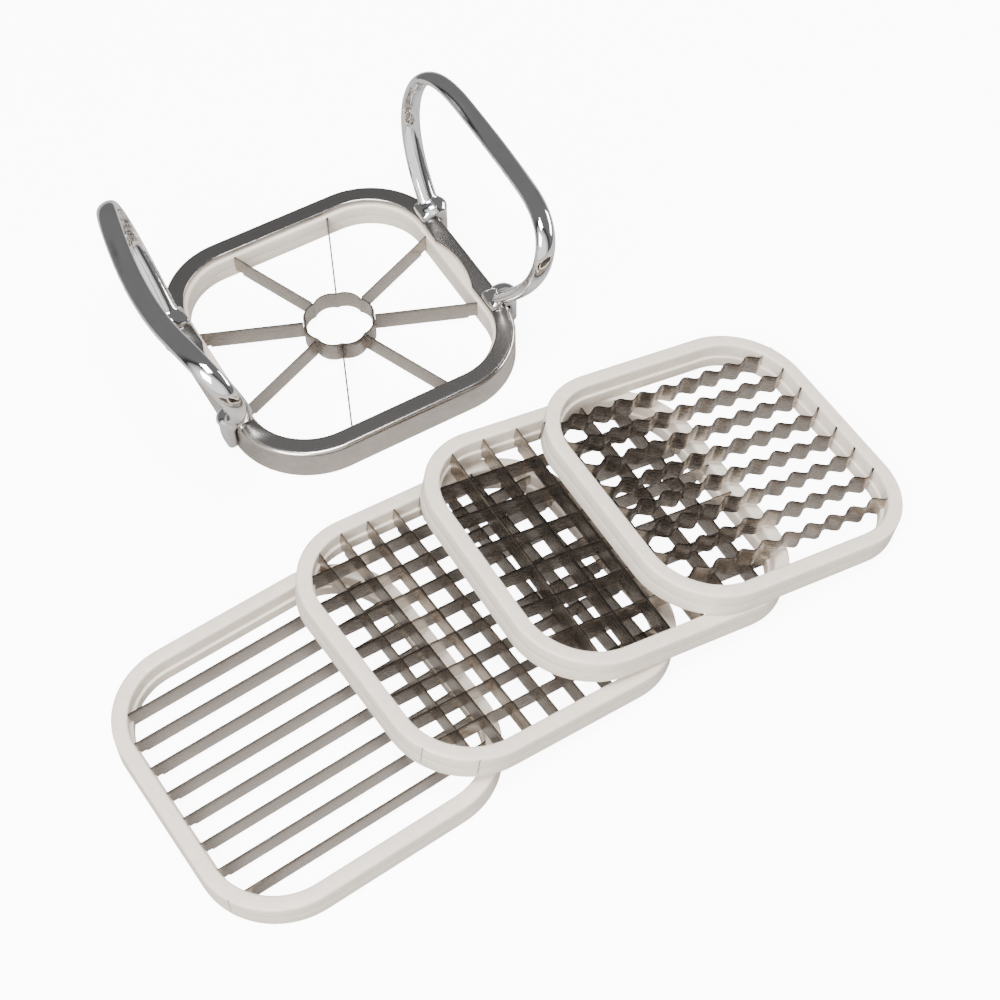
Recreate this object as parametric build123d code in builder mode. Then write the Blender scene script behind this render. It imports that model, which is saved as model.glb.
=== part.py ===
from build123d import *
import math
import os

os.makedirs("parts", exist_ok=True)

# A hand-operated dicer and wedger with interchangeable cutting cassettes, in millimetres.
# A cast handle frame stands on the work surface with the wedge divider cassette pushed up
# into it from below. Four more cassettes lie in front, each leaning on the one before.
# +X runs from handle to handle, +Y away from the row of loose cassettes, +Z up. The origin
# is the centre of the frame on the work surface.

# Cassette rings: an upper ring closed by a lower ring, which traps the blade ends.
cassette_side = 99.0
cassette_corner = 26.0
cassette_height = 9.2
rim_width = 5.0
rim_round = 0.9
base_round = 0.4
ring_split = 4.2
lower_step = 1.0
groove_size = 0.35

# Blades.
blade_thickness = 0.6
blade_height = 7.2
blade_floor = 1.5
bevel_height = 1.0
edge_land = 0.16
slot_depth = 2.4
slot_play = 0.05
tang_rise = 0.8
tang_reach = 3.0
lap_play = 0.08

slice_blades = 8
fine_blades = 8
coarse_blades = 6
crinkle_blades = 8
crinkle_half_waves = 20
crinkle_swing = 1.5
crinkle_round = 2.2

# Wedge divider.
spoke_count = 8
core_radius = 12.1
core_bulge = 0.8
core_wall = 0.8

# Handle frame.
frame_wall = 2.85
frame_height = 11.4
seat_clearance = 0.25
flange_thickness = 1.8
flange_width = 6.9
frame_round = 1.5
relief_length = 26.0
relief_depth = 2.5
knuckle_height = 1.4
knuckle_length = 9.0
knuckle_gap = 0.25

# Handles: a bowed loop of oval bar, broad across the loop, on two feet that straddle the
# frame's wall. Both handles sit handle_shift behind the middle, and their near corner is
# corner_drop lower than the far one. Each bend takes bend_share of the shorter run beside it.
bar_width = 7.6
bar_thickness = 4.8
handle_shift = 1.2
foot_spacing = 49.0
foot_width = 9.0
foot_thickness = 3.2
lug_clearance = 0.05
lug_thickness = 3.2
lug_lift = 0.8
foot_round = 3.2
shoulder_spread = 46.0
shoulder_height = 34.0
corner_spread = 42.0
corner_height = 65.5
corner_drop = 7.0
crown_height = 53.0
shoulder_lean = 0.0
corner_lean = 8.5
crown_lean = 14.0
bend_share = 0.47
rivet_diameter = 2.6
rivet_head = 4.2
rivet_head_depth = 0.8
rivet_grip = 1.8
rivet_height = 5.6
rivet_play = 0.05

# Loose cassettes: turn about Z in degrees, the distance between neighbouring right-hand
# edges on the work surface, and the clear distance from the handle frame. A cassette clears
# the one below by stack_clearance at its right-hand edge and by far_clearance or more at
# the other end of their overlap.
stack_clearance = 0.3
far_clearance = 0.05
slicer_centre_x = -83.3
slicer_turn = 4.4
slicer_gap = 35.55
fine_turn = 4.4
fine_step = 65.0
fine_gap = 28.35
coarse_turn = 0.6
coarse_step = 45.5
coarse_gap = 23.55
crinkle_turn = 0.6
crinkle_step = 44.8
crinkle_gap = 22.75

# Worked out from the sizes above.
cassette_half = cassette_side / 2
opening = cassette_side - 2 * rim_width
opening_corner = cassette_corner - rim_width
blade_reach = opening / 2 + slot_depth
pocket = cassette_side + 2 * seat_clearance
pocket_corner = cassette_corner + seat_clearance
frame_side = pocket + 2 * frame_wall
frame_half = frame_side / 2
frame_corner = pocket_corner + frame_wall
frame_opening = frame_side - 2 * flange_width
seat_top = frame_height - flange_thickness
seat_floor = seat_top - seat_clearance - cassette_height


def save(piece, name):
    """Label one finished piece and write its STEP file."""
    piece.part.label = name
    export_step(piece.part, "parts/" + name + ".step")


def blade_rows(count):
    """Offsets from the centre of evenly spaced blades across the opening."""
    pitch = opening / (count + 1)
    return [(row - (count - 1) / 2) * pitch for row in range(count)]


# Places of the cassettes. Each place is a plane on the underside of its cassette.
def flat_place(centre_x, centre_y, turn, height=0.0):
    """A cassette that lies level."""
    angle = math.radians(turn)
    return Plane(
        origin=(centre_x, centre_y, height),
        x_dir=(math.cos(angle), math.sin(angle), 0),
        z_dir=(0, 0, 1),
    )


def leaning_place(toe_x, centre_y, turn, lean):
    """A cassette with its right-hand edge on the surface and its left-hand edge raised."""
    angle = math.radians(turn)
    heading = Vector(math.cos(angle), math.sin(angle), 0)
    x_dir = heading * math.cos(lean) - Vector(0, 0, math.sin(lean))
    z_dir = heading * math.sin(lean) + Vector(0, 0, math.cos(lean))
    middle_x = toe_x - cassette_half * math.cos(lean) * math.cos(angle)
    return Plane(
        origin=(middle_x, centre_y, cassette_half * math.sin(lean)),
        x_dir=x_dir,
        z_dir=z_dir,
    )


def lean_over(step, turn, below_turn, below_lean):
    """Lean in radians that clears the cassette below at both ends of their overlap."""
    twist = abs(math.radians(turn - below_turn))
    flat_run = cassette_half - cassette_corner
    swell = flat_run * (math.cos(twist) + math.sin(twist) - 1)
    run = step - swell - cassette_height * math.sin(below_lean)
    rise = cassette_height * math.cos(below_lean)
    overlap = cassette_side - run
    far_run = run + overlap * math.cos(below_lean)
    far_rise = rise + overlap * math.sin(below_lean)
    return max(
        math.atan2(rise, run) + math.asin(stack_clearance / math.hypot(run, rise)),
        math.atan2(far_rise, far_run) + math.asin(far_clearance / math.hypot(far_run, far_rise)),
    )


def row_y(gap):
    """Centre of a loose cassette that lies clear of the handle frame by gap."""
    return -(frame_half + gap + cassette_half)


slicer_toe = slicer_centre_x + cassette_half
fine_toe = slicer_toe + fine_step
coarse_toe = fine_toe + coarse_step
crinkle_toe = coarse_toe + crinkle_step
fine_lean = lean_over(fine_step, fine_turn, slicer_turn, 0.0)
coarse_lean = lean_over(coarse_step, coarse_turn, fine_turn, fine_lean)
crinkle_lean = lean_over(crinkle_step, crinkle_turn, coarse_turn, coarse_lean)

divider_place = flat_place(0, 0, 0, seat_floor)
slicer_place = flat_place(slicer_centre_x, row_y(slicer_gap), slicer_turn)
fine_place = leaning_place(fine_toe, row_y(fine_gap), fine_turn, fine_lean)
coarse_place = leaning_place(coarse_toe, row_y(coarse_gap), coarse_turn, coarse_lean)
crinkle_place = leaning_place(crinkle_toe, row_y(crinkle_gap), crinkle_turn, crinkle_lean)


# Slots, each drawn in the open sketch of a ring.
def straight_slots(count, angle):
    """Slots for parallel blades that run at angle degrees across the cassette."""
    for offset in blade_rows(count):
        turn = math.radians(angle)
        spot = (-offset * math.sin(turn), offset * math.cos(turn))
        with Locations(Location((spot[0], spot[1], 0), (0, 0, angle))):
            Rectangle(2 * blade_reach, blade_thickness + 2 * slot_play)


def spoke_slots():
    """Slots for the spokes of the wedge divider."""
    for angle in spoke_angles():
        with Locations(Location((0, 0, 0), (0, 0, angle))):
            with Locations((spoke_reach / 2, 0)):
                Rectangle(spoke_reach, blade_thickness + 2 * slot_play)


def wave_outline(offset, thickness, reach):
    """Face of one wavy blade, seen from above."""
    half_wave = opening / crinkle_half_waves
    last = crinkle_half_waves // 2
    crests = []
    for step in range(-last, last + 1):
        side = 1 if step % 2 == 0 else -1
        crests.append((step * half_wave, offset + side * crinkle_swing))
    first_side = crests[0][1]
    centre_line = [(-reach, first_side)] + crests + [(reach, crests[-1][1])]
    shift = thickness / 2
    left_line = [(x, y + shift) for x, y in centre_line]
    right_line = [(x, y - shift) for x, y in centre_line]
    with BuildSketch() as outline:
        with BuildLine():
            FilletPolyline(*left_line, radius=crinkle_round)
            FilletPolyline(*right_line, radius=crinkle_round)
            Line(left_line[0], right_line[0])
            Line(left_line[-1], right_line[-1])
        make_face()
    return outline.sketch


def wave_slots():
    """Slots for the wavy blades."""
    for outline in wave_slot_outlines:
        add(outline)


wave_slot_outlines = [
    wave_outline(offset, blade_thickness + 2 * slot_play, blade_reach)
    for offset in blade_rows(crinkle_blades)
]


# Rings.
def make_rings(place, title, draw_slots, step=lower_step):
    """The upper and lower ring of one cassette, slotted for its blades. The lower ring
    stands in from the upper one by step, as a ledge under the blades."""
    up = Axis(place.origin, place.z_dir)
    slot_floor = blade_floor - slot_play
    slot_height = blade_height + 2 * slot_play
    upper_height = cassette_height - ring_split

    with BuildPart() as upper:
        with BuildSketch(place.offset(ring_split)):
            RectangleRounded(cassette_side, cassette_side, cassette_corner)
            RectangleRounded(opening, opening, opening_corner, mode=Mode.SUBTRACT)
        extrude(amount=upper_height)
        fillet(upper.edges().group_by(up)[-1], rim_round)
        with BuildSketch(place.offset(slot_floor)):
            draw_slots()
        extrude(amount=slot_height, mode=Mode.SUBTRACT)
    save(upper, title + "_upper_ring")

    lower_opening = opening - 2 * step
    with BuildPart() as lower:
        with BuildSketch(place):
            RectangleRounded(cassette_side, cassette_side, cassette_corner)
        extrude(amount=ring_split)
        chamfer(lower.edges().group_by(up)[0], base_round)
        chamfer(lower.edges().group_by(up)[-1], groove_size)
        with BuildSketch(place):
            RectangleRounded(lower_opening, lower_opening, opening_corner - step)
        extrude(amount=ring_split, mode=Mode.SUBTRACT)
        with BuildSketch(place.offset(slot_floor)):
            draw_slots()
        extrude(amount=slot_height, mode=Mode.SUBTRACT)
    save(lower, title + "_lower_ring")


# Blades.
def blade_frame(place, offset, angle):
    """Directions of one blade: its centre, along, across and up."""
    turn = math.radians(angle)
    along = place.x_dir * math.cos(turn) + place.y_dir * math.sin(turn)
    across = place.y_dir * math.cos(turn) - place.x_dir * math.sin(turn)
    centre = place.origin + across * offset + place.z_dir * blade_floor
    return centre, along, across


half_blade = blade_thickness / 2
bevel_foot = blade_height - bevel_height
with BuildSketch() as ground_section:
    with BuildLine():
        Polyline(
            (-half_blade, 0),
            (half_blade, 0),
            (half_blade, bevel_foot),
            (edge_land / 2, blade_height),
            (-edge_land / 2, blade_height),
            (-half_blade, bevel_foot),
            close=True,
        )
    make_face()


def straight_blade(place, offset, angle, notches=(), notch_from_top=False):
    """One blade from wall to wall, with half-lap notches where others cross it."""
    centre, along, across = blade_frame(place, offset, angle)
    half_length = blade_reach - slot_play
    notch_width = blade_thickness + 2 * lap_play
    notch_height = blade_height / 2 + lap_play
    notch_centre = blade_height - notch_height / 2 if notch_from_top else notch_height / 2
    tang_length = slot_depth + tang_reach
    with BuildPart() as blade:
        with BuildSketch(Plane(centre, x_dir=across, z_dir=along)):
            add(ground_section.sketch)
        extrude(amount=half_length, both=True)
        with BuildSketch(Plane(centre, x_dir=along, z_dir=-across)):
            for end in (-1, 1):
                with Locations((end * (half_length - tang_length / 2), tang_rise / 2)):
                    Rectangle(tang_length, tang_rise)
            for spot in notches:
                with Locations((spot, notch_centre)):
                    Rectangle(notch_width, notch_height)
        extrude(amount=blade_thickness, both=True, mode=Mode.SUBTRACT)
    return blade


def slicing_set(place, title):
    """Parallel straight blades, one node each."""
    for number, offset in enumerate(blade_rows(slice_blades), start=1):
        save(straight_blade(place, offset, 0), f"{title}_blade_{number}")


def crossing_sets(place, count):
    """The two halves of a grid: long blades run along Y and lap over the cross blades."""
    rows = blade_rows(count)
    long_blades = [straight_blade(place, spot, 90, rows) for spot in rows]
    cross_blades = [straight_blade(place, spot, 0, rows, True) for spot in rows]
    return long_blades, cross_blades


def save_group(blades, name):
    """Write several separate blades as one node."""
    with BuildPart() as group:
        for blade in blades:
            add(blade.part)
    save(group, name)


# Wedge divider cassette, seated in the frame.
def spoke_angles():
    """Directions of the spokes, which miss the middle of each side."""
    return [(number + 0.5) * 360 / spoke_count for number in range(spoke_count)]


def wall_distance():
    """Distance from the centre to the upper ring's wall along a spoke."""
    nearest = min(abs(math.remainder(angle, 90)) for angle in spoke_angles())
    return opening / 2 / math.cos(math.radians(nearest))


spoke_reach = wall_distance() + slot_depth
core_inside = core_radius - core_wall


def core_outline(radius):
    """Closed line of shallow arcs that meet in a cusp at every spoke."""
    half_step = 180 / spoke_count
    with BuildSketch() as outline:
        with BuildLine():
            for angle in spoke_angles():
                start = Vector(radius, 0).rotate(Axis.Z, angle)
                middle = Vector(radius + core_bulge, 0).rotate(Axis.Z, angle + half_step)
                end = Vector(radius, 0).rotate(Axis.Z, angle + 2 * half_step)
                ThreePointArc(start, middle, end)
        make_face()
    return outline.sketch


def make_core(place):
    """Central corer ring, slotted from below for the spokes' tongues."""
    slot_height = blade_height / 2 + lap_play
    outside = core_outline(core_radius)
    inside = core_outline(core_inside)
    with BuildPart() as core:
        with BuildSketch(place.offset(blade_floor)):
            add(outside)
            add(inside, mode=Mode.SUBTRACT)
        extrude(amount=blade_height)
        with BuildSketch(place.offset(blade_floor)):
            for angle in spoke_angles():
                with Locations(Location((0, 0, 0), (0, 0, angle))):
                    with Locations((core_radius, 0)):
                        Rectangle(2 * core_wall + core_bulge, blade_thickness + 2 * lap_play)
        extrude(amount=slot_height, mode=Mode.SUBTRACT)
    save(core, "divider_core_ring")


def make_spoke(place, number, angle):
    """One spoke: its tongue enters the core ring and its tang enters the outer ring."""
    centre, along, across = blade_frame(place, 0, angle)
    clear_radius = core_radius + core_bulge / 2
    tongue_length = clear_radius - core_inside
    body_length = spoke_reach - slot_play - core_inside
    tang_length = slot_depth + tang_reach
    step_height = blade_height / 2
    with BuildPart() as spoke:
        with BuildSketch(Plane(centre + along * core_inside, x_dir=across, z_dir=along)):
            add(ground_section.sketch)
        extrude(amount=body_length)
        with BuildSketch(Plane(centre, x_dir=along, z_dir=-across)):
            with Locations((core_inside + tongue_length / 2, blade_height - step_height / 2)):
                Rectangle(tongue_length, step_height)
            with Locations((core_inside + body_length - tang_length / 2, tang_rise / 2)):
                Rectangle(tang_length, tang_rise)
        extrude(amount=blade_thickness, both=True, mode=Mode.SUBTRACT)
    save(spoke, f"divider_spoke_{number}")


make_rings(divider_place, "divider", spoke_slots, step=0)
make_core(divider_place)
for number, angle in enumerate(spoke_angles(), start=1):
    make_spoke(divider_place, number, angle)


# Slicing cassette: parallel straight blades.
make_rings(slicer_place, "slicer", lambda: straight_slots(slice_blades, 0))
slicing_set(slicer_place, "slicer")


# Fine dicing cassette: a close grid, each direction of blades one node.
def grid_slots(count):
    """Slots for both directions of a grid."""
    straight_slots(count, 0)
    straight_slots(count, 90)


make_rings(fine_place, "fine_dicer", lambda: grid_slots(fine_blades))
fine_long, fine_cross = crossing_sets(fine_place, fine_blades)
save_group(fine_long, "fine_dicer_long_blades")
save_group(fine_cross, "fine_dicer_cross_blades")


# Coarse dicing cassette: a wide grid.
make_rings(coarse_place, "coarse_dicer", lambda: grid_slots(coarse_blades))
coarse_long, coarse_cross = crossing_sets(coarse_place, coarse_blades)
for number, blade in enumerate(coarse_long, start=1):
    save(blade, f"coarse_dicer_long_blade_{number}")
for number, blade in enumerate(coarse_cross, start=1):
    save(blade, f"coarse_dicer_cross_blade_{number}")


# Crinkle cassette: wavy blades.
make_rings(crinkle_place, "crinkle", wave_slots)
for number, offset in enumerate(blade_rows(crinkle_blades), start=1):
    outline = wave_outline(offset, blade_thickness, blade_reach - slot_play)
    with BuildPart() as wavy:
        with BuildSketch(crinkle_place.offset(blade_floor)):
            add(outline)
        extrude(amount=blade_height)
    save(wavy, f"crinkle_blade_{number}")


# Handle frame: a wall around the cassette under a flange that keeps it from rising.
foot_spots = [handle_shift + end * foot_spacing / 2 for end in (-1, 1)]


def wall_plane(side):
    """Plane on the inner face of the frame's wall, facing outwards, at the rivets' height."""
    return Plane((side * pocket / 2, 0, rivet_height), x_dir=(0, side, 0), z_dir=(side, 0, 0))


def knuckle_outline(spot):
    """Side view of a knuckle, highest beside the foot at spot and falling away towards -Y."""
    root = spot - foot_width / 2 - knuckle_gap
    crest = frame_height + knuckle_height
    with BuildSketch() as outline:
        with BuildLine():
            Polyline((root - knuckle_length, seat_top), (root, seat_top), (root, crest))
            fall = Spline(
                (root, crest),
                (root - knuckle_length, frame_height),
                tangents=[(-1, 0), (-1, 0)],
            )
            Line(fall @ 1, (root - knuckle_length, seat_top))
        make_face()
    return outline.sketch


def rivet_circles(side, radius):
    """Circles at the two rivets of one side, drawn on that side's wall plane."""
    with BuildSketch() as circles:
        with Locations(*[(side * spot, 0) for spot in foot_spots]):
            Circle(radius)
    return circles.sketch


relief_radius = (relief_length**2 / 4 + relief_depth**2) / (2 * relief_depth)
relief_centre = frame_opening / 2 + relief_depth - relief_radius
knuckle_side = frame_side - 2 * frame_round
with BuildPart() as knuckles:
    with BuildSketch(Plane.XY.offset(seat_top)):
        RectangleRounded(knuckle_side, knuckle_side, frame_corner - frame_round)
        RectangleRounded(
            frame_opening, frame_opening, frame_corner - flange_width, mode=Mode.SUBTRACT
        )
    extrude(amount=flange_thickness + knuckle_height)
    with BuildSketch(Plane.YZ):
        for spot in foot_spots:
            add(knuckle_outline(spot))
    extrude(amount=frame_half, both=True, mode=Mode.INTERSECT)

with BuildPart() as frame:
    with BuildSketch():
        RectangleRounded(frame_side, frame_side, frame_corner)
    extrude(amount=frame_height)
    fillet(frame.edges().group_by(Axis.Z)[-1], frame_round)
    with BuildSketch():
        RectangleRounded(pocket, pocket, pocket_corner)
    extrude(amount=seat_top, mode=Mode.SUBTRACT)
    with BuildSketch(Plane.XY.offset(seat_top)):
        RectangleRounded(frame_opening, frame_opening, frame_corner - flange_width)
        with Locations((relief_centre, 0), (-relief_centre, 0)):
            Circle(relief_radius)
    extrude(amount=flange_thickness, mode=Mode.SUBTRACT)
    add(knuckles.part)
    for side in (-1, 1):
        with BuildSketch(wall_plane(side)):
            add(rivet_circles(side, rivet_diameter / 2 + rivet_play))
        extrude(amount=2 * frame_wall, mode=Mode.SUBTRACT)
        with BuildSketch(wall_plane(side)):
            add(rivet_circles(side, rivet_head / 2 + rivet_play))
        extrude(amount=rivet_head_depth + rivet_play, mode=Mode.SUBTRACT)
save(frame, "frame")


# Handles.
def handle_path():
    """Centre line of a handle's bar, from its near foot to its far foot."""
    corner_x = frame_half + corner_lean
    foot = (frame_half - lug_thickness / 2, foot_spacing / 2, frame_height + foot_thickness / 2)
    shoulder = (frame_half + shoulder_lean, shoulder_spread, shoulder_height)
    near_corner = (corner_x, corner_spread, corner_height - corner_drop)
    far_corner = (corner_x, corner_spread, corner_height)
    crown = (frame_half + crown_lean, 0, crown_height)
    near = [(x, -y, z) for x, y, z in (foot, shoulder, near_corner)]
    centred = near + [crown, far_corner, shoulder, foot]
    return [(x, y + handle_shift, z) for x, y, z in centred]


def path_radii(points):
    """Bend radii as large as the runs on both sides of each corner allow."""
    radii = []
    for before, here, after in zip(points, points[1:], points[2:]):
        run_in = Vector(here) - Vector(before)
        run_out = Vector(after) - Vector(here)
        turn = math.radians(run_in.get_angle(run_out))
        shorter = min(run_in.length, run_out.length)
        radii.append(bend_share * shorter / math.tan(turn / 2))
    return radii


path_points = handle_path()
rivet_length = frame_wall + lug_clearance + rivet_grip
lug_inside = frame_side + 2 * lug_clearance
lug_outside = lug_inside + 2 * lug_thickness
foot_top = frame_height + foot_thickness
foot_length = (lug_outside - frame_opening) / 2

with BuildPart() as right_handle:
    with BuildSketch(Plane(origin=(frame_opening / 2, 0, 0), x_dir=(0, 1, 0), z_dir=(1, 0, 0))):
        with Locations(*[(spot, (foot_top + lug_lift) / 2) for spot in foot_spots]):
            RectangleRounded(foot_width, foot_top - lug_lift, foot_round)
    extrude(amount=foot_length)
    with BuildSketch():
        RectangleRounded(lug_outside, lug_outside, frame_corner + lug_clearance + lug_thickness)
    extrude(amount=foot_top, mode=Mode.INTERSECT)
    with BuildLine() as bar_line:
        FilletPolyline(*path_points, radius=path_radii(path_points))
    bar_start = Plane(origin=bar_line.line @ 0, x_dir=(1, 0, 0), z_dir=bar_line.line % 0)
    with BuildSketch(bar_start):
        Ellipse(bar_width / 2, bar_thickness / 2)
    sweep()
    with BuildSketch():
        RectangleRounded(lug_inside, lug_inside, frame_corner + lug_clearance)
    extrude(amount=frame_height, mode=Mode.SUBTRACT)
    with BuildSketch(wall_plane(1)):
        add(rivet_circles(1, rivet_diameter / 2 + rivet_play))
    extrude(amount=rivet_length + rivet_play, mode=Mode.SUBTRACT)
save(right_handle, "right_handle")

with BuildPart() as left_handle:
    mirror(right_handle.part, about=Plane.YZ)
save(left_handle, "left_handle")

with BuildPart() as rivets:
    for side in (-1, 1):
        with BuildSketch(wall_plane(side)):
            add(rivet_circles(side, rivet_diameter / 2))
        extrude(amount=rivet_length)
        with BuildSketch(wall_plane(side)):
            add(rivet_circles(side, rivet_head / 2))
        extrude(amount=rivet_head_depth)
save(rivets, "handle_rivets")
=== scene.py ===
import math

import bmesh
import bpy
from mathutils import Matrix, Vector


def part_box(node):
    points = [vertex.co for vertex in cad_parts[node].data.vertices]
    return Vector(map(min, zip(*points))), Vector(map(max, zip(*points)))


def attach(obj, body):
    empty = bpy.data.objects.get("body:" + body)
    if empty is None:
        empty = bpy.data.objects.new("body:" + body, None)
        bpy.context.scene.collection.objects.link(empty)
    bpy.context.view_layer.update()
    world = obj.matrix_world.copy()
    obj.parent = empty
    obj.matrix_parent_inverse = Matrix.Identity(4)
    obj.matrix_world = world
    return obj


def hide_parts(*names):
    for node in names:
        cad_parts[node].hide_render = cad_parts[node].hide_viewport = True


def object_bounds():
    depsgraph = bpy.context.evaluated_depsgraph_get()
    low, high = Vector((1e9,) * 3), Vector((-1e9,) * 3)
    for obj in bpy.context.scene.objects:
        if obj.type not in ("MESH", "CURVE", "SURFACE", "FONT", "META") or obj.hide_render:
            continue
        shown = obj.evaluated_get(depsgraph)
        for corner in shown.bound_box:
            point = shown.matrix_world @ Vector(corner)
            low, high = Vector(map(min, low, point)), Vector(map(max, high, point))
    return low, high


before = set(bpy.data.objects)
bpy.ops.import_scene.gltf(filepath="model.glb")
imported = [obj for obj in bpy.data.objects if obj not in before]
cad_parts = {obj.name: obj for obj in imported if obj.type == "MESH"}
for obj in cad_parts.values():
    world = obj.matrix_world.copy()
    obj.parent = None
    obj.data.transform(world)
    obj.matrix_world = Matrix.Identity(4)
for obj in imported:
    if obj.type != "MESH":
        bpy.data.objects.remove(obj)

# A hand dicer: a cast handle frame with the wedge divider seated in it, and four loose
# cassettes that lean on one another in front of it. All lengths are in metres.
mm = 0.001
cad_low, cad_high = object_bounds()

# Cassette rings.
rim_width = 5.0 * mm
ring_split = 4.2 * mm
lower_step = 1.0 * mm
cassette_corner = 26.0 * mm
rim_round = 0.9 * mm
edge_round = 0.4 * mm
groove_round = 0.3 * mm
seam_round = 0.1 * mm

# Blades.
blade_thickness = 0.6 * mm
blade_floor = 1.5 * mm
blade_height = 7.2 * mm
ground_height = 1.0 * mm
ground_land = 0.16 * mm
slot_depth = 2.4 * mm
slot_play = 0.08 * mm
blade_counts = {"slicer": 8, "fine_dicer": 8, "coarse_dicer": 6, "crinkle": 8}
crinkle_half_waves = 20
crinkle_swing = 1.5 * mm
crinkle_round = 2.3 * mm
crinkle_slot_factor = 1.4
bend_steps = 6

# Wedge divider's corer.
core_radius = 12.1 * mm
core_bulge = 0.8 * mm
core_wall = 0.8 * mm
spoke_count = 8
corer_steps_per_spoke = 14

# Handle frame.
frame_wall = 2.85 * mm
frame_corner = 29.1 * mm
flange_width = 6.9 * mm
flange_thickness = 1.8 * mm
frame_round = 1.5 * mm
frame_foot_round = 0.35 * mm
seat_round = 0.5 * mm
lip_round = 0.25 * mm
relief_length = 26.0 * mm
relief_depth = 2.5 * mm
knuckle_height = 1.4 * mm
knuckle_length = 9.0 * mm

# Handles.
bar_width = 7.6 * mm
bar_thickness = 4.8 * mm
handle_shift = 1.2 * mm
foot_spacing = 49.0 * mm
foot_width = 9.0 * mm
foot_thickness = 3.2 * mm
lug_thickness = 3.2 * mm
lug_clearance = 0.05 * mm
lug_lift = 0.8 * mm
foot_round = 3.2 * mm
handle_edge_round = 1.1 * mm
swell_inset = 0.8 * mm
swell_drop = 1.2 * mm
swell_radii = (5.6 * mm, 4.7 * mm, 3.2 * mm)
fuse_voxel = 0.36 * mm
shoulder = (0.0, 46.0 * mm, 34.0 * mm)
corner = (8.5 * mm, 42.0 * mm, 65.5 * mm)
corner_drop = 7.0 * mm
crown = (14.0 * mm, 0.0, 53.0 * mm)


# Places of the cassettes, each read from the flat faces of its lower ring.
def main_direction(node, towards, least):
    """Mean outward direction of the faces of a CAD node that look about the same way."""
    total = Vector()
    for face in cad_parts[node].data.polygons:
        if face.normal.dot(towards) > least:
            total += face.normal * face.area
    return total.normalized()


def cassette_place(title):
    """Matrix from a cassette's own axes, centred on its underside, to the object's frame."""
    ring = title + "_lower_ring"
    up = -main_direction(ring, Vector((0, 0, -1)), 0.9)
    right = largest_side(ring, up)
    back = up.cross(right)
    turn = Matrix((right, back, up)).transposed().to_4x4()
    inside = turn.inverted()
    corners = [inside @ v.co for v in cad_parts[ring].data.vertices]
    low = Vector([min(c[k] for c in corners) for k in range(3)])
    high = Vector([max(c[k] for c in corners) for k in range(3)])
    middle = turn @ Vector(((low.x + high.x) / 2, (low.y + high.y) / 2, low.z))
    return Matrix.Translation(middle) @ turn


def largest_side(node, up):
    """Direction in which the flat right-hand side of a ring looks."""
    areas = {}
    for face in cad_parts[node].data.polygons:
        if face.normal.x > 0.9 and abs(face.normal.dot(up)) < 0.01:
            key = tuple(round(part, 3) for part in face.normal)
            total, area = areas.get(key, (Vector(), 0.0))
            areas[key] = (total + face.normal * face.area, area + face.area)
    flat = max(areas.values(), key=lambda entry: entry[1])[0].normalized()
    return (flat - up * flat.dot(up)).normalized()


frame_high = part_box("frame")[1]
frame_half = frame_high.x
frame_height = frame_high.z - knuckle_height
ring_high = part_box("divider_upper_ring")[1]
cassette_half = ring_high.x
cassette_height = ring_high.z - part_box("divider_lower_ring")[0].z
foot_spots = [handle_shift + end * foot_spacing / 2 for end in (-1, 1)]
opening = 2 * (cassette_half - rim_width)
places = {title: cassette_place(title)
          for title in ("divider", "slicer", "fine_dicer", "coarse_dicer", "crinkle")}


# Node helpers.
def add_node(tree, kind, links=None, **values):
    """A node with its properties set, its inputs linked or given by name."""
    node = tree.nodes.new(kind)
    for name, value in values.items():
        setattr(node, name, value)
    for socket, value in (links or {}).items():
        if isinstance(value, bpy.types.NodeSocket):
            tree.links.new(value, node.inputs[socket])
        else:
            node.inputs[socket].default_value = value
    return node


def math_node(tree, operation, first, second):
    return add_node(tree, "ShaderNodeMath", {0: first, 1: second}, operation=operation).outputs[0]


def spread(tree, value, low, high, to_low, to_high):
    """The value moved from one range to another, and held inside it."""
    links = {"Value": value, "From Min": low, "From Max": high,
             "To Min": to_low, "To Max": to_high}
    return add_node(tree, "ShaderNodeMapRange", links).outputs["Result"]


def noise(tree, point, scale, detail=4.0, roughness=0.55):
    links = {"Vector": point, "Scale": scale, "Detail": detail, "Roughness": roughness}
    return add_node(tree, "ShaderNodeTexNoise", links).outputs["Fac"]


def new_group(name, inputs, outputs):
    """An empty shader group with its sockets, and its two end nodes."""
    tree = bpy.data.node_groups.new(name, "ShaderNodeTree")
    for title, kind, value in inputs:
        socket = tree.interface.new_socket(title, in_out="INPUT", socket_type=kind)
        if value is not None:
            socket.default_value = value
    for title, kind in outputs:
        tree.interface.new_socket(title, in_out="OUTPUT", socket_type=kind)
    return tree, tree.nodes.new("NodeGroupInput"), tree.nodes.new("NodeGroupOutput")


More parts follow.
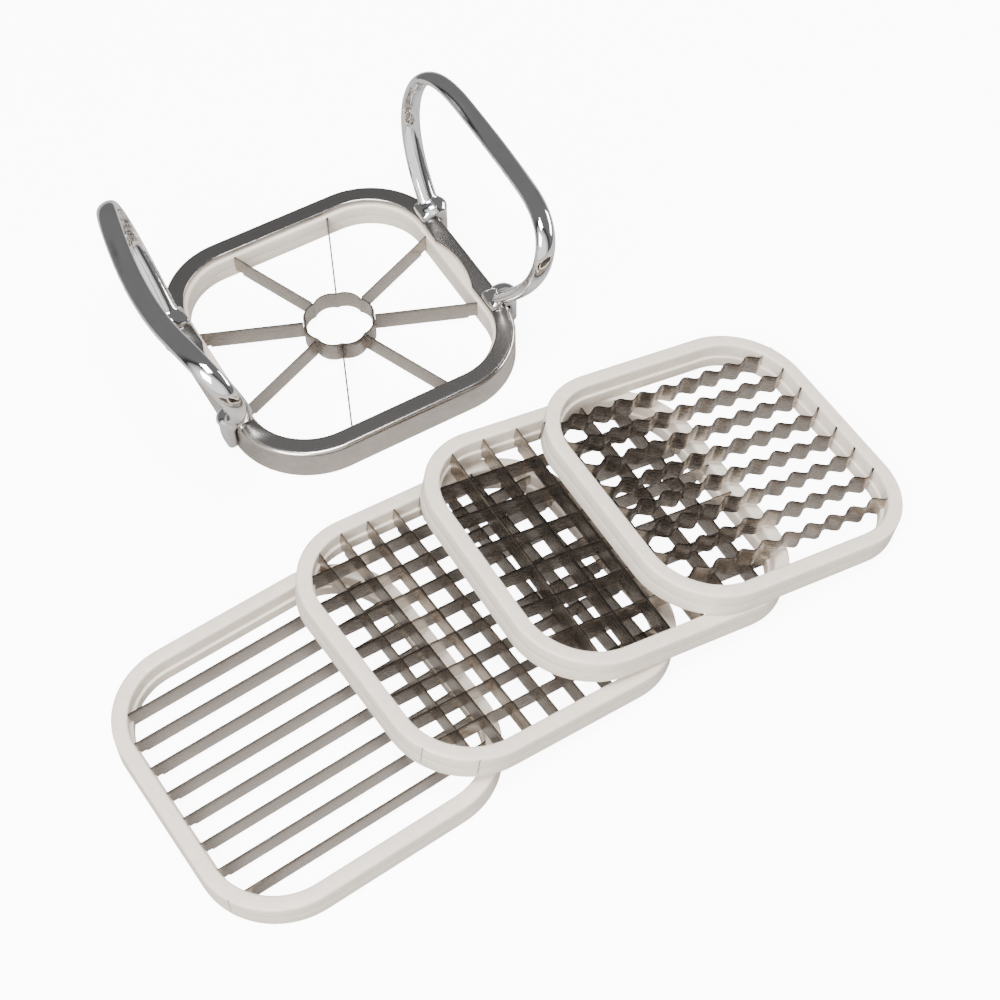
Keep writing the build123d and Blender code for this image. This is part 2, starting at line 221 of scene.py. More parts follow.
def make_handling_group():
    """Smudges left by hands and fine scratches from use, each as a value from 0 to 1."""
    tree, given, out = new_group(
        "handling_marks",
        [("Point", "NodeSocketVector", None),
         ("Smudge Scale", "NodeSocketFloat", 60.0),
         ("Scratch Scale", "NodeSocketFloat", 900.0)],
        [("Smudge", "NodeSocketFloat"), ("Scratch", "NodeSocketFloat")])
    soft = noise(tree, given.outputs["Point"], given.outputs["Smudge Scale"], 5.0, 0.6)
    smudge = spread(tree, soft, 0.35, 0.68, 0.0, 1.0)
    streaks = []
    for turn in (0.35, 1.4):
        turned = add_node(tree, "ShaderNodeMapping", {
            "Vector": given.outputs["Point"],
            "Rotation": (turn, turn * 2, turn),
            "Scale": (1.0, 0.04, 1.0)})
        line = noise(tree, turned.outputs["Vector"], given.outputs["Scratch Scale"], 2.0)
        streaks.append(spread(tree, line, 0.66, 0.72, 0.0, 1.0))
    scratch = math_node(tree, "MAXIMUM", streaks[0], streaks[1])
    tree.links.new(smudge, out.inputs["Smudge"])
    tree.links.new(scratch, out.inputs["Scratch"])
    return tree


def make_grain_group():
    """Fine stock grain: tiny relief and tone of a moulded, cast or rolled surface."""
    tree, given, out = new_group(
        "surface_grain",
        [("Point", "NodeSocketVector", None), ("Scale", "NodeSocketFloat", 2500.0)],
        [("Tone", "NodeSocketFloat"), ("Height", "NodeSocketFloat")])
    coarse = noise(tree, given.outputs["Point"],
                   math_node(tree, "MULTIPLY", given.outputs["Scale"], 0.12), 3.0)
    fine = noise(tree, given.outputs["Point"], given.outputs["Scale"], 2.0)
    tone = spread(tree, coarse, 0.3, 0.7, 0.0, 1.0)
    height = math_node(tree, "ADD", math_node(tree, "MULTIPLY", coarse, 0.5), fine)
    tree.links.new(tone, out.inputs["Tone"])
    tree.links.new(height, out.inputs["Height"])
    return tree


handling_marks = make_handling_group()
surface_grain = make_grain_group()


def use_group(tree, group, links):
    node = add_node(tree, "ShaderNodeGroup", node_tree=group)
    for socket, value in links.items():
        if isinstance(value, bpy.types.NodeSocket):
            tree.links.new(value, node.inputs[socket])
        else:
            node.inputs[socket].default_value = value
    return node


def new_material(name, metallic=0.0, **shader_values):
    """A material with its shader, and the point in the object's frame."""
    material = bpy.data.materials.new(name)
    material.use_nodes = True
    tree = material.node_tree
    shader = tree.nodes["Principled BSDF"]
    shader.inputs["Metallic"].default_value = metallic
    for socket, value in shader_values.items():
        shader.inputs[socket.replace("_", " ")].default_value = value
    point = add_node(tree, "ShaderNodeTexCoord").outputs["Object"]
    return material, tree, shader, point


def blend_colours(tree, factor, first, second):
    mix = add_node(tree, "ShaderNodeMix", data_type="RGBA")
    for index, value in ((0, factor), (6, first), (7, second)):
        if isinstance(value, bpy.types.NodeSocket):
            tree.links.new(value, mix.inputs[index])
        else:
            mix.inputs[index].default_value = value if index == 0 else (*value, 1.0)
    return mix.outputs[2]


def relief(tree, shader, height, strength, distance):
    bump = add_node(tree, "ShaderNodeBump", {"Height": height, "Strength": strength,
                                             "Distance": distance})
    tree.links.new(bump.outputs["Normal"], shader.inputs["Normal"])


def local_point(tree, point, place):
    """The point in a cassette's own axes."""
    back = place.inverted()
    return add_node(tree, "ShaderNodeMapping", {
        "Vector": point,
        "Location": back.translation,
        "Rotation": back.to_euler("XYZ")}).outputs["Vector"]


# Materials.
def moulded_plastic():
    """Warm off-white moulded plastic with a fine spark texture and faint handling stains."""
    material, tree, shader, point = new_material(
        "moulded_plastic", IOR=1.5, Subsurface_Weight=0.15, Subsurface_Scale=0.004)
    shader.inputs["Subsurface Radius"].default_value = (1.0, 0.8, 0.6)
    marks = use_group(tree, handling_marks, {"Point": point, "Smudge Scale": 45.0,
                                             "Scratch Scale": 700.0})
    grain = use_group(tree, surface_grain, {"Point": point, "Scale": 3200.0})
    clean = blend_colours(tree, grain.outputs["Tone"], (0.765, 0.675, 0.575), (0.82, 0.735, 0.64))
    stain = math_node(tree, "MULTIPLY", marks.outputs["Smudge"], 0.22)
    used = blend_colours(tree, stain, clean, (0.61, 0.54, 0.46))
    scratched = math_node(tree, "MULTIPLY", marks.outputs["Scratch"], 0.25)
    tree.links.new(blend_colours(tree, scratched, used, (0.86, 0.84, 0.80)),
                   shader.inputs["Base Color"])
    tree.links.new(spread(tree, marks.outputs["Smudge"], 0.0, 1.0, 0.36, 0.48),
                   shader.inputs["Roughness"])
    relief(tree, shader, grain.outputs["Height"], 0.12, 0.00008)
    return material


def blade_steel(title):
    """Rolled stainless strip: grain along the strip, and painted shade darkening its sharpened top
    edge.
    """
    material, tree, shader, point = new_material("blade_steel_" + title, metallic=1.0)
    inside = local_point(tree, point, places[title])
    height = add_node(tree, "ShaderNodeSeparateXYZ", {"Vector": inside}).outputs["Z"]
    rolled = add_node(tree, "ShaderNodeMapping", {"Vector": inside,
                                                  "Scale": (60.0, 60.0, 4200.0)})
    streak = noise(tree, rolled.outputs["Vector"], 1.0, 3.0)
    marks = use_group(tree, handling_marks, {"Point": point, "Smudge Scale": 110.0,
                                             "Scratch Scale": 1400.0})
    low = blade_floor
    high = blade_floor + blade_height
    rise = spread(tree, height, low, high, 0.0, 1.0)
    strip = blend_colours(tree, rise, (0.50, 0.46, 0.425), (0.42, 0.385, 0.355))
    streaked = blend_colours(tree, math_node(tree, "MULTIPLY", streak, 0.16), strip,
                             (0.31, 0.28, 0.255))
    tarnished = blend_colours(tree, math_node(tree, "MULTIPLY", marks.outputs["Smudge"], 0.18),
                              streaked, (0.27, 0.235, 0.20))
    # Painted shade: the top of the blade over its ground edge is blended almost to black, standing in
    # for the dark reflection of the ground bevel.
    edge = spread(tree, height, high - 0.4 * ground_height, high - 0.1 * ground_height, 0.0, 1.0)
    tree.links.new(blend_colours(tree, edge, tarnished, (0.10, 0.09, 0.08)),
                   shader.inputs["Base Color"])
    worn = math_node(tree, "ADD", math_node(tree, "MULTIPLY", streak, 0.16),
                     math_node(tree, "MULTIPLY", marks.outputs["Scratch"], 0.12))
    tree.links.new(math_node(tree, "ADD", worn, 0.19), shader.inputs["Roughness"])
    relief(tree, shader, streak, 0.15, 0.00004)
    return material


def satin_alloy():
    """Satin plated casting of the frame: brighter where its rounded edge is polished, with painted
    shade darkening the faces that look straight up.
    """
    material, tree, shader, point = new_material("satin_alloy", metallic=1.0)
    place = add_node(tree, "ShaderNodeSeparateXYZ", {"Vector": point})
    marks = use_group(tree, handling_marks, {"Point": point, "Smudge Scale": 70.0})
    grain = use_group(tree, surface_grain, {"Point": point, "Scale": 2600.0})
    normal = add_node(tree, "ShaderNodeNewGeometry").outputs["Normal"]
    facing = add_node(tree, "ShaderNodeSeparateXYZ", {"Vector": normal}).outputs["Z"]
    flat_top = spread(tree, facing, 0.93, 0.995, 0.0, 1.0)
    walls = blend_colours(tree, grain.outputs["Tone"], (0.46, 0.425, 0.395), (0.53, 0.49, 0.46))
    # Painted shade: faces that look straight up get a darker base colour, standing in for the dark
    # overhead that the flat flange top reflects.
    top_painted_shade = blend_colours(tree, flat_top, walls, (0.36, 0.35, 0.34))
    smudged = blend_colours(tree, math_node(tree, "MULTIPLY", marks.outputs["Smudge"], 0.2),
                            top_painted_shade, (0.34, 0.32, 0.30))
    tree.links.new(smudged, shader.inputs["Base Color"])
    satin = spread(tree, place.outputs["Z"], frame_height - 2.4 * frame_round,
                   frame_height - frame_round, 0.34, 0.17)
    tree.links.new(math_node(tree, "ADD", satin, math_node(tree, "MULTIPLY", flat_top, 0.1)),
                   shader.inputs["Roughness"])
    relief(tree, shader, grain.outputs["Height"], 0.04, 0.00003)
    return material


def bright_chrome():
    """Mirror chrome with the faint waviness of a polished casting and a few smudges."""
    material, tree, shader, point = new_material("bright_chrome", metallic=1.0)
    marks = use_group(tree, handling_marks, {"Point": point, "Smudge Scale": 90.0,
                                             "Scratch Scale": 1500.0})
    waviness = noise(tree, point, 140.0, 2.0)
    tree.links.new(blend_colours(tree, marks.outputs["Smudge"], (0.80, 0.80, 0.81),
                                 (0.74, 0.735, 0.73)), shader.inputs["Base Color"])
    worn = math_node(tree, "ADD", math_node(tree, "MULTIPLY", marks.outputs["Smudge"], 0.05),
                     math_node(tree, "MULTIPLY", marks.outputs["Scratch"], 0.05))
    tree.links.new(math_node(tree, "ADD", worn, 0.035), shader.inputs["Roughness"])
    relief(tree, shader, waviness, 0.25, 0.0004)
    return material


def plain_steel():
    """Plain turned steel of the rivets."""
    material, tree, shader, point = new_material("plain_steel", metallic=1.0)
    grain = use_group(tree, surface_grain, {"Point": point, "Scale": 5000.0})
    tree.links.new(blend_colours(tree, grain.outputs["Tone"], (0.42, 0.41, 0.40),
                                 (0.58, 0.57, 0.56)), shader.inputs["Base Color"])
    tree.links.new(spread(tree, grain.outputs["Tone"], 0.0, 1.0, 0.25, 0.4),
                   shader.inputs["Roughness"])
    relief(tree, shader, grain.outputs["Height"], 0.2, 0.00005)
    return material


plastic = moulded_plastic()
alloy = satin_alloy()
chrome = bright_chrome()
steel = plain_steel()
blade_finish = {title: blade_steel(title) for title in places}


# Mesh helpers.
def finish_piece(bm, name, material, body, slot, *nodes, sharp=35.0):
    """The object of a finished bmesh, which stands for CAD nodes and rides on their body."""
    bmesh.ops.recalc_face_normals(bm, faces=bm.faces)
    mesh = bpy.data.meshes.new(name)
    bm.to_mesh(mesh)
    bm.free()
    mesh.shade_smooth()
    mesh.set_sharp_from_angle(angle=math.radians(sharp))
    mesh.materials.append(material)
    piece = bpy.data.objects.new(name, mesh)
    bpy.context.scene.collection.objects.link(piece)
    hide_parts(*nodes)
    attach(piece, body)
    return piece


def section(corners, segments=5):
    """A closed cross-section in the XZ plane; each corner is (x, z, round)."""
    bm = bmesh.new()
    verts = [bm.verts.new((x, 0.0, z)) for x, z, _ in corners]
    face = bm.faces.new(verts)
    for vert, (_, _, size) in zip(verts, corners):
        if size:
            bmesh.ops.bevel(bm, geom=[vert], offset=size, offset_type="OFFSET",
                            segments=segments, profile=0.5, affect="VERTICES", material=-1)
    bmesh.ops.delete(bm, geom=bm.faces[:], context="FACES_ONLY")
    return bm


def sweep_round_square(bm, flat, runs, turns):
    """Carries a cross-section on the +X side round a square whose flats end at +-flat."""
    bmesh.ops.translate(bm, verts=bm.verts, vec=(0, -flat, 0))
    edges = bm.edges[:]
    for side in range(4):
        heading = Matrix.Rotation(side * math.pi / 2, 3, "Z")
        for angle, steps in ((0.0, runs), (math.pi / 2, turns)):
            advance = heading @ Vector((0, 2 * flat / runs, 0)) if angle == 0.0 else Vector()
            made = bmesh.ops.spin(bm, geom=edges, cent=heading @ Vector((flat, flat, 0)),
                                  axis=(0, 0, 1), dvec=advance, angle=angle, steps=steps)
            edges = [part for part in made["geom_last"] if isinstance(part, bmesh.types.BMEdge)]
    bmesh.ops.remove_doubles(bm, verts=bm.verts, dist=0.001 * mm)
    return bm


def add_box(bm, low, high):
    """A closed box between two corners."""
    size = Vector(high) - Vector(low)
    middle = (Vector(high) + Vector(low)) / 2
    place = Matrix.Translation(middle) @ Matrix.Diagonal((*size, 1.0))
    return bmesh.ops.create_cube(bm, size=1.0, matrix=place)["verts"]


def cut(piece, cutter_bm):
    """Takes the cutter's boxes out of a piece."""
    mesh = bpy.data.meshes.new("cutter")
    cutter_bm.to_mesh(mesh)
    cutter_bm.free()
    cutter = bpy.data.objects.new("cutter", mesh)
    bpy.context.scene.collection.objects.link(cutter)
    modifier = piece.modifiers.new("slots", "BOOLEAN")
    modifier.operation = "DIFFERENCE"
    modifier.solver = "EXACT"
    modifier.object = cutter
    bpy.context.view_layer.update()
    graph = bpy.context.evaluated_depsgraph_get()
    cut_mesh = bpy.data.meshes.new_from_object(piece.evaluated_get(graph))
    piece.modifiers.remove(modifier)
    piece.data = cut_mesh
    cut_mesh.set_sharp_from_angle(angle=math.radians(35.0))
    bpy.data.objects.remove(cutter)


# Cassettes.
def blade_rows(count):
    pitch = opening / (count + 1)
    return [(row - (count - 1) / 2) * pitch for row in range(count)]


def spoke_angles():
    return [(number + 0.5) * 2 * math.pi / spoke_count for number in range(spoke_count)]


def slot_cutter(title):
    """Boxes that the blades' ends fill, in the cassette's own axes."""
    bm = bmesh.new()
    wide = blade_thickness / 2 + slot_play
    low, high = blade_floor - slot_play, blade_floor + blade_height + slot_play
    inner, outer = opening / 2 - 2 * lower_step, opening / 2 + slot_depth
    for angle, row, end_wide in blade_ends(title):
        verts = add_box(bm, (inner, row - wide * end_wide, low), (outer, row + wide * end_wide, high))
        bmesh.ops.rotate(bm, verts=verts, cent=(0, 0, 0), matrix=Matrix.Rotation(angle, 3, "Z"))
    return bm


def blade_ends(title):
    """Direction, row and slot width factor of every blade end of a cassette."""
    if title == "divider":
        return [(angle, 0.0, 1.0) for angle in spoke_angles()]
    rows = blade_rows(blade_counts[title])
    ends = [(angle, row, 1.0) for angle in (0.0, math.pi) for row in rows]
    if title == "crinkle":
        return [(angle, row + math.cos(angle) * crinkle_swing, crinkle_slot_factor)
                for angle, row, _ in ends]
    if title in ("fine_dicer", "coarse_dicer"):
        ends += [(angle, row, 1.0) for angle in (math.pi / 2, -math.pi / 2) for row in rows]
    return ends


def make_rings(title):
    """The two halves of a cassette's ring, with soft edges, a seam groove and slots."""
    wall = cassette_half - rim_width
    flat = cassette_half - cassette_corner
    split, top = ring_split, cassette_height
    upper = [(cassette_half, split, groove_round), (cassette_half, top, rim_round),
             (wall, top, rim_round), (wall, split, seam_round)]
    flush = title == "divider"
    inside = wall if flush else wall - lower_step
    lower = [(cassette_half, 0.0, edge_round), (cassette_half, split, groove_round),
             (inside, split, seam_round if flush else groove_round), (inside, 0.0, edge_round)]
    for half, corners in (("upper", upper), ("lower", lower)):
        bm = sweep_round_square(section(corners), flat, 12, 18)
        name = f"{title}_{half}_shell"
        piece = finish_piece(bm, name, plastic, title + "_cassette", "cassette_plastic",
                             f"{title}_{half}_ring")
        cutter = slot_cutter(title)
        if title == "divider":
            reach = 1 / math.cos(spoke_angles()[0])
            bmesh.ops.scale(cutter, verts=cutter.verts, vec=(reach, reach, 1.0))
        cut(piece, cutter)
        piece.data.transform(places[title])


for title in places:
    make_rings(title)


def wave_line():
    """Rounded zigzag of a crinkle blade, from wall to wall."""
    half_wave = opening / crinkle_half_waves
    slope = math.atan(2 * crinkle_swing / half_wave)
    last = crinkle_half_waves // 2
    points = [Vector((-opening / 2 - slot_depth, crinkle_swing, 0))]
    for step in range(-last, last + 1):
        side = 1 if step % 2 == 0 else -1
        start = 0.0 if step == -last else -slope
        end = 0.0 if step == last else slope
        drop = crinkle_round / math.cos(slope)
        for part in range(bend_steps + 1):
            angle = start + (end - start) * part / bend_steps
            across = side * (crinkle_swing - drop + crinkle_round * math.cos(angle))
            if abs(step) == last:
                across += side * (drop - crinkle_round) * (1 - abs(angle) / slope)
            points.append(Vector((step * half_wave + crinkle_round * math.sin(angle), across, 0)))
    points.append(Vector((opening / 2 + slot_depth, crinkle_swing, 0)))
    return points


def stations_along(line):
    """Frames along a level line, each with its Y axis along it and its Z axis up."""
    stations = []
    for before, here, after in zip([line[0]] + line[:-1], line, line[1:] + [line[-1]]):
        along = (after - before).normalized()
        turn = Matrix((along.cross((0, 0, 1)), along, (0, 0, 1))).transposed().to_4x4()
        stations.append(Matrix.Translation(here) @ turn)
    return stations


def make_crinkle_blade(number, row):
    """One wavy blade, its ground section extruded from station to station."""
    half, land = blade_thickness / 2, ground_land / 2
    foot, top = blade_height - ground_height, blade_height
    outline = [(-half, 0.0), (half, 0.0), (half, foot), (land, top), (-land, top), (-half, foot)]
    stations = stations_along(wave_line())
    bm = bmesh.new()
    start = [bm.verts.new((x, 0, z)) for x, z in outline]
    caps = [bm.faces.new(start)]
    bmesh.ops.transform(bm, matrix=stations[0], verts=start)
    for before, here in zip(stations, stations[1:]):
        made = bmesh.ops.extrude_face_region(bm, geom=[caps[-1]])["geom"]
        caps.append(next(part for part in made if isinstance(part, bmesh.types.BMFace)))
        bmesh.ops.transform(bm, matrix=here @ before.inverted(), verts=caps[-1].verts)
    # An extruded face stays behind, so only the caps at the two ends are kept.
    bmesh.ops.delete(bm, geom=caps[1:-1], context="FACES_ONLY")
    place = places["crinkle"] @ Matrix.Translation((0, row, blade_floor))
    bmesh.ops.transform(bm, matrix=place, verts=bm.verts)
    finish_piece(bm, f"crinkle_blade_{number}_ground", blade_finish["crinkle"],
                 "crinkle_cassette", "blade_steel", f"crinkle_blade_{number}", sharp=25.0)


for number, row in enumerate(blade_rows(blade_counts["crinkle"]), start=1):
    make_crinkle_blade(number, row)


def make_corer():
    """Scalloped corer: a plain strip ring pushed out between the spokes."""
    outer, inner = core_radius, core_radius - core_wall
    low, top = blade_floor, blade_floor + blade_height
    corners = [(outer, low, 0.0), (outer, top - ground_height, 0.0),
               (inner + 2 * ground_land, top, 0.0), (inner, top, 0.0), (inner, low, 0.0)]
    bm = section(corners)
    bmesh.ops.rotate(bm, verts=bm.verts, cent=(0, 0, 0),
                     matrix=Matrix.Rotation(spoke_angles()[0], 3, "Z"))
    bmesh.ops.spin(bm, geom=bm.edges[:], cent=(0, 0, 0), axis=(0, 0, 1), dvec=(0, 0, 0),
                   angle=2 * math.pi, steps=spoke_count * corer_steps_per_spoke, use_merge=True)
    half_step = math.pi / spoke_count
    cusp = Vector((core_radius * math.cos(half_step), core_radius * math.sin(half_step)))
    far = core_radius + core_bulge
    middle = (far**2 - cusp.length_squared) / (2 * (far - cusp.x))
    arc_radius = far - middle
    for vert in bm.verts:
        angle = math.atan2(vert.co.y, vert.co.x)
        off = math.remainder(angle, 2 * half_step)
        reach = middle * math.cos(off) + math.sqrt(arc_radius**2 - (middle * math.sin(off))**2)
        vert.co.xy = vert.co.xy * (1 + (reach - core_radius) / vert.co.xy.length)
    bmesh.ops.transform(bm, matrix=places["divider"], verts=bm.verts)
    finish_piece(bm, "divider_corer", blade_finish["divider"], "divider_cassette",
                 "blade_steel", "divider_core_ring", sharp=25.0)


make_corer()

for name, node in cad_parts.items():
    if "blade" in name or "spoke" in name or "core" in name:
        title = next(title for title in places if name.startswith(title))
        node.data.materials.clear()
        node.data.materials.append(blade_finish[title])


# Handle frame.
def relief_shift(y):
    """How far a thumb relief pushes the flange's inner edge outwards at y."""
    radius = (relief_length**2 / 4 + relief_depth**2) / (2 * relief_depth)
    if abs(y) >= relief_length / 2:
        return 0.0
    return math.sqrt(radius**2 - y**2) - (radius - relief_depth)


def knuckle_rise(y):
    """Height of the knuckle that stands on the flange beside a foot, on its -Y side."""
    for spot in foot_spots:
        share = (spot - foot_width / 2 - y) / knuckle_length
        if 0.0 <= share <= 1.0:
            return knuckle_height * 0.5 * (1.0 + math.cos(math.pi * share))
    return 0.0


def flange_share(spot):
    """Where a point lies across the flange, from 0 at its outer edge to 1 at its inner one."""
    flat = frame_half - frame_corner
    over = Vector((max(abs(spot.x) - flat, 0.0), max(abs(spot.y) - flat, 0.0)))
    return min(max((frame_corner - over.length) / flange_width, 0.0), 1.0)


def make_frame():
    """The cast frame: a wall under a rounded flange, with thumb reliefs and knuckles."""
    wall = frame_half - frame_wall
    lip = frame_half - flange_width
    seat = frame_height - flange_thickness
    flat = frame_half - frame_corner
    corners = [(frame_half, 0.0, frame_foot_round), (frame_half, frame_height, frame_round)]
    corners += [(lip + (frame_half - frame_round - lip) * share, frame_height, 0.0)
                for share in (0.95, 0.8, 0.6, 0.4, 0.2)]
    corners += [(lip, frame_height, seat_round), (lip, seat, lip_round),
                (wall, seat, seat_round), (wall, 0.0, frame_foot_round)]
    bm = sweep_round_square(section(corners, 8), flat, 72, 48)
    for vert in bm.verts:
        side = 1 if vert.co.x > 0 else -1
        inward = (wall - abs(vert.co.x)) / (wall - lip)
        if abs(vert.co.y) < flat and inward > 0 and vert.co.z > seat - 0.01 * mm:
            vert.co.x += side * relief_shift(vert.co.y) * min(inward, 1.0)
        if vert.co.z > seat + 0.5 * flange_thickness:
            across = flange_share(vert.co)
            lift = (vert.co.z - seat) / flange_thickness
            vert.co.z += knuckle_rise(vert.co.y) * lift * math.sin(math.pi * across) ** 0.5
    finish_piece(bm, "frame_casting", alloy, "handle_frame", "frame_alloy", "frame", sharp=40.0)


make_frame()


# Handles.
def bar_route():
    """Control points of the right-hand bar, from its near foot to its far foot."""
    foot = Vector((frame_half - lug_thickness / 2, foot_spacing / 2,
                   frame_height + foot_thickness / 2))
    offset = Vector((frame_half, 0, 0))
    far = [foot, offset + Vector(shoulder), offset + Vector(corner)]
    near = [Vector((point.x, -point.y, point.z)) for point in far]
    near[-1].z -= corner_drop
    shift = Vector((0, handle_shift, 0))
    return [point + shift for point in near + [offset + Vector(crown)] + far[::-1]]


def make_bar():
    """Mesh of the bowed bar on the right-hand side, an oval section broad across the loop."""
    route = bar_route()
    curve = bpy.data.curves.new("bar", "CURVE")
    curve.dimensions = "3D"
    curve.bevel_depth = bar_thickness / 2
    curve.bevel_resolution = 10
    curve.resolution_u = 24
    curve.use_fill_caps = True
    spline = curve.splines.new("NURBS")
    spline.points.add(len(route) - 1)
    for point, place in zip(spline.points, route):
        point.co = (*place, 1.0)
        point.radius = 1.0
    spline.order_u = 3
    spline.use_endpoint_u = True
    bar = bpy.data.objects.new("bar", curve)
    bpy.context.scene.collection.objects.link(bar)
    bpy.context.view_layer.update()
    graph = bpy.context.evaluated_depsgraph_get()
    mesh = bpy.data.meshes.new_from_object(bar.evaluated_get(graph))
    bpy.data.objects.remove(bar)
    around = 2 * (curve.bevel_resolution + 2)
    stretch = bar_width / bar_thickness - 1
    for start in range(0, len(mesh.vertices) - around + 1, around):
        ring = mesh.vertices[start:start + around]
        middle = sum((vert.co for vert in ring), Vector()) / around
        lean = math.atan2(crown[0], crown[2] - frame_height) * min(
            max((middle.z - shoulder[2]) / (corner[2] - shoulder[2]), 0.0), 1.0)
        across = Vector((math.cos(lean), 0, -math.sin(lean)))
        for vert in ring:
            vert.co += across * (vert.co - middle).dot(across) * stretch
    return mesh


def add_foot(bm, centre_y):
    """A saddle foot on the flange with a lug down the outside of the wall."""
    inner = frame_half - flange_width
    seam = frame_half + lug_clearance
    outer = seam + lug_thickness
    base = frame_height + lug_clearance
    top = frame_height + foot_thickness
    outline = [(inner, base), (seam, base), (seam, lug_lift), (outer, lug_lift),
               (outer, top), (inner, top)]
    near = centre_y - foot_width / 2
    verts = [bm.verts.new((x, near, z)) for x, z in outline]
    face = bm.faces.new(verts)
    made = bmesh.ops.extrude_face_region(bm, geom=[face])["geom"]
    moved = [part for part in made if isinstance(part, bmesh.types.BMVert)]
    bmesh.ops.translate(bm, verts=moved, vec=(0, foot_width, 0))
    shape = verts + moved
    tips = [e for e in set(e for v in shape for e in v.link_edges)
            if all(abs(v.co.z - lug_lift) < 0.01 * mm for v in e.verts)
            and abs(e.verts[0].co.y - e.verts[1].co.y) < 0.01 * mm]
    bmesh.ops.bevel(bm, geom=tips, offset=foot_round, offset_type="OFFSET", segments=6,
                    profile=0.5, affect="EDGES", material=-1)
    rims = [e for e in bm.edges if e.is_valid and len(e.link_faces) == 2
            and abs(min(v.co.y for v in e.verts) - centre_y) < foot_width
            and e.calc_face_angle() > math.radians(80)
            and not all(v.co.x < seam + 0.01 * mm and v.co.z < base + 0.01 * mm for v in e.verts)]
    bmesh.ops.bevel(bm, geom=rims, offset=handle_edge_round, offset_type="OFFSET", segments=3,
                    profile=0.5, affect="EDGES", material=-1)


def make_handle(side, mirror_x):
    """Bar and feet fused into one casting, with soft joins between them."""
    bm = bmesh.new()
    for spot in foot_spots:
        add_foot(bm, spot)
        middle = (frame_half - swell_inset, spot, frame_height + foot_thickness - swell_drop)
        swell = Matrix.Translation(middle) @ Matrix.Diagonal((*swell_radii, 1.0))
        bmesh.ops.create_uvsphere(bm, u_segments=32, v_segments=20, radius=1.0, matrix=swell)
    bm.from_mesh(make_bar())
    bmesh.ops.recalc_face_normals(bm, faces=bm.faces)
    if mirror_x:
        bmesh.ops.scale(bm, verts=bm.verts, vec=(-1, 1, 1))
        bmesh.ops.reverse_faces(bm, faces=bm.faces)
    name = side + "_handle_casting"
    mesh = bpy.data.meshes.new(name)
    bm.to_mesh(mesh)
    bm.free()
    mesh.materials.append(chrome)
    piece = bpy.data.objects.new(name, mesh)
    bpy.context.scene.collection.objects.link(piece)
    remesh = piece.modifiers.new("fuse", "REMESH")
    remesh.mode = "VOXEL"
    remesh.voxel_size = fuse_voxel
    remesh.use_smooth_shade = True
    soften = piece.modifiers.new("soften", "SMOOTH")
    soften.factor = 0.5
    soften.iterations = 36
    bpy.context.view_layer.update()
    graph = bpy.context.evaluated_depsgraph_get()
    fused = bpy.data.meshes.new_from_object(piece.evaluated_get(graph))
    piece.modifiers.clear()
    piece.data = fused
    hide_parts(side + "_handle")
    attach(piece, "handle_frame")


make_handle("right", False)
make_handle("left", True)

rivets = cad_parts["handle_rivets"]
rivets.data.materials.clear()
rivets.data.materials.append(steel)


# Stage: a plain pale floor, soft lights and the camera.
def make_floor():
    """A pale sweep that glows evenly to the eye and stays mid grey in reflections."""
    bm = bmesh.new()
    bmesh.ops.create_grid(bm, x_segments=1, y_segments=1, size=4.0)
    mesh = bpy.data.meshes.new("floor")
    bm.to_mesh(mesh)
    bm.free()
    material, tree, shader, point = new_material("pale_floor")
    tone = noise(tree, point, 3.0, 2.0)
    tree.links.new(blend_colours(tree, tone, (0.93, 0.93, 0.93), (0.95, 0.95, 0.95)),
                   shader.inputs["Base Color"])
    shader.inputs["Roughness"].default_value = 0.9
    shader.inputs["Specular IOR Level"].default_value = 0.2
    shader.inputs["Emission Color"].default_value = (1.0, 1.0, 1.0, 1.0)
    shader.inputs["Emission Strength"].default_value = 9.0
    dim = add_node(tree, "ShaderNodeBsdfDiffuse", {"Color": (0.38, 0.365, 0.35, 1.0)})
    seen = add_node(tree, "ShaderNodeLightPath").outputs["Is Camera Ray"]
    mix = add_node(tree, "ShaderNodeMixShader", {
        0: seen, 1: dim.outputs["BSDF"], 2: shader.outputs["BSDF"]})
    tree.links.new(mix.outputs["Shader"], tree.nodes["Material Output"].inputs["Surface"])
    mesh.materials.append(material)
    floor = bpy.data.objects.new("floor", mesh)
    floor.location.z = -0.2 * mm
    bpy.context.scene.collection.objects.link(floor)


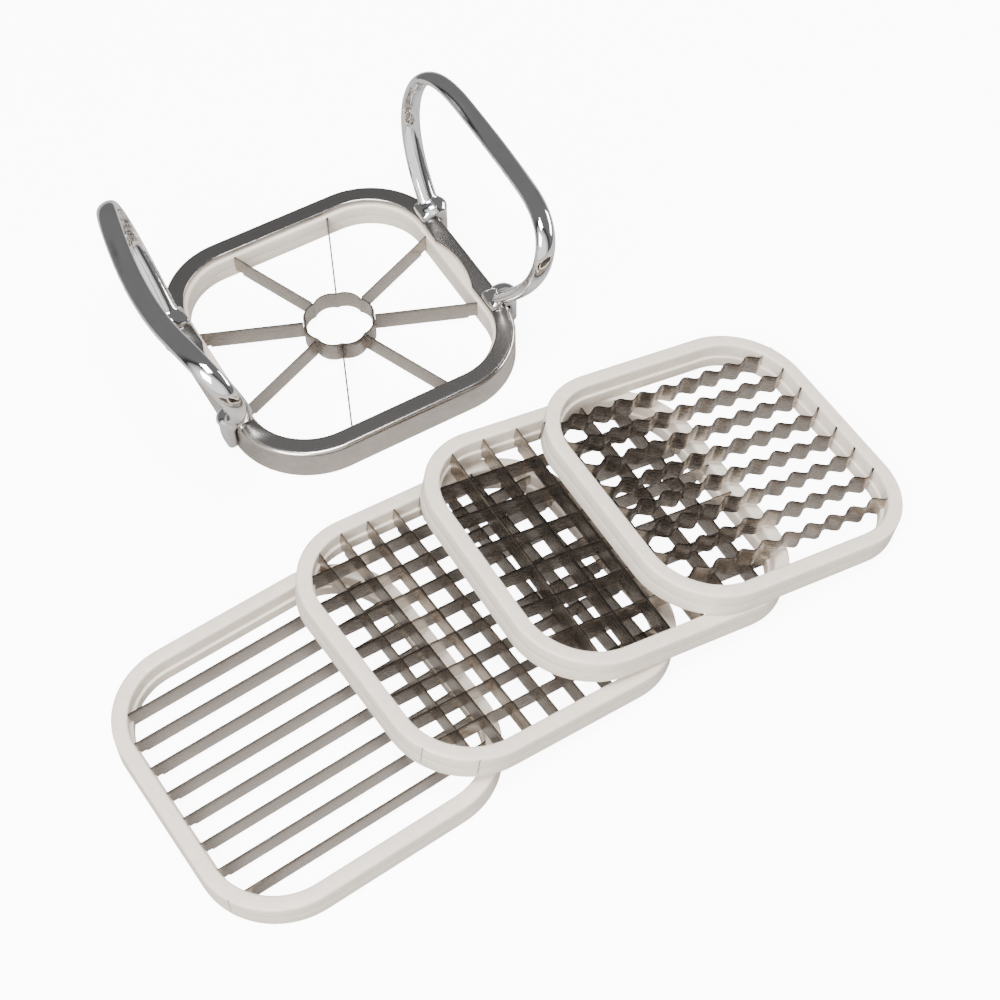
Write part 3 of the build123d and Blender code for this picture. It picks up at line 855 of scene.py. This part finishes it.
def make_light(name, place, aim, size, power):
    data = bpy.data.lights.new(name, "AREA")
    data.shape = "RECTANGLE"
    data.size, data.size_y = size
    data.energy = power
    light = bpy.data.objects.new(name, data)
    light.location = place
    light.rotation_euler = (Vector(aim) - Vector(place)).to_track_quat("-Z", "Y").to_euler()
    bpy.context.scene.collection.objects.link(light)


def make_world():
    """Soft studio surround: a broad pale side in front on the left, a dark screen beside it."""
    world = bpy.data.worlds.new("studio")
    world.use_nodes = True
    tree = world.node_tree
    background = tree.nodes["Background"]
    point = add_node(tree, "ShaderNodeTexCoord").outputs["Generated"]
    bright_side = Vector((-0.62, -0.74, 0.26)).normalized()
    facing = add_node(tree, "ShaderNodeVectorMath", {0: point, 1: bright_side},
                      operation="DOT_PRODUCT").outputs["Value"]
    ramp = add_node(tree, "ShaderNodeValToRGB", {"Fac": facing})
    steps = ramp.color_ramp.elements
    steps[0].position, steps[0].color = 0.20, (0.21, 0.21, 0.212, 1.0)
    steps[1].position, steps[1].color = 0.72, (1.7, 1.7, 1.68, 1.0)
    screen = steps.new(0.42)
    screen.color = (0.03, 0.03, 0.03, 1.0)
    tree.links.new(ramp.outputs["Color"], background.inputs["Color"])
    background.inputs["Strength"].default_value = 1.0
    bpy.context.scene.world = world


def make_camera():
    azimuth, elevation, roll = math.radians(-29.24), math.radians(54.31), math.radians(-1.437)
    data = bpy.data.cameras.new("camera")
    data.lens = 69.518
    data.sensor_width = 36.0
    data.clip_start = 0.01
    camera = bpy.data.objects.new("camera", data)
    turn = (Matrix.Rotation(azimuth, 3, "Z") @ Matrix.Rotation(math.pi / 2 - elevation, 3, "X")
            @ Matrix.Rotation(roll, 3, "Z"))
    camera.matrix_world = Matrix.Translation((-0.16893, -0.41276, 0.51479)) @ turn.to_4x4()
    bpy.context.scene.collection.objects.link(camera)
    bpy.context.scene.camera = camera


make_floor()
middle = (cad_low + cad_high) / 2
make_light("key", (-0.8, -0.6, 1.0), middle, (0.7, 0.7), 26.0)
make_light("top", (0.0, -0.15, 1.3), middle, (0.5, 0.5), 22.0)
make_light("side", (1.1, -0.2, 0.45), middle, (0.9, 0.25), 10.0)
make_world()
make_camera()
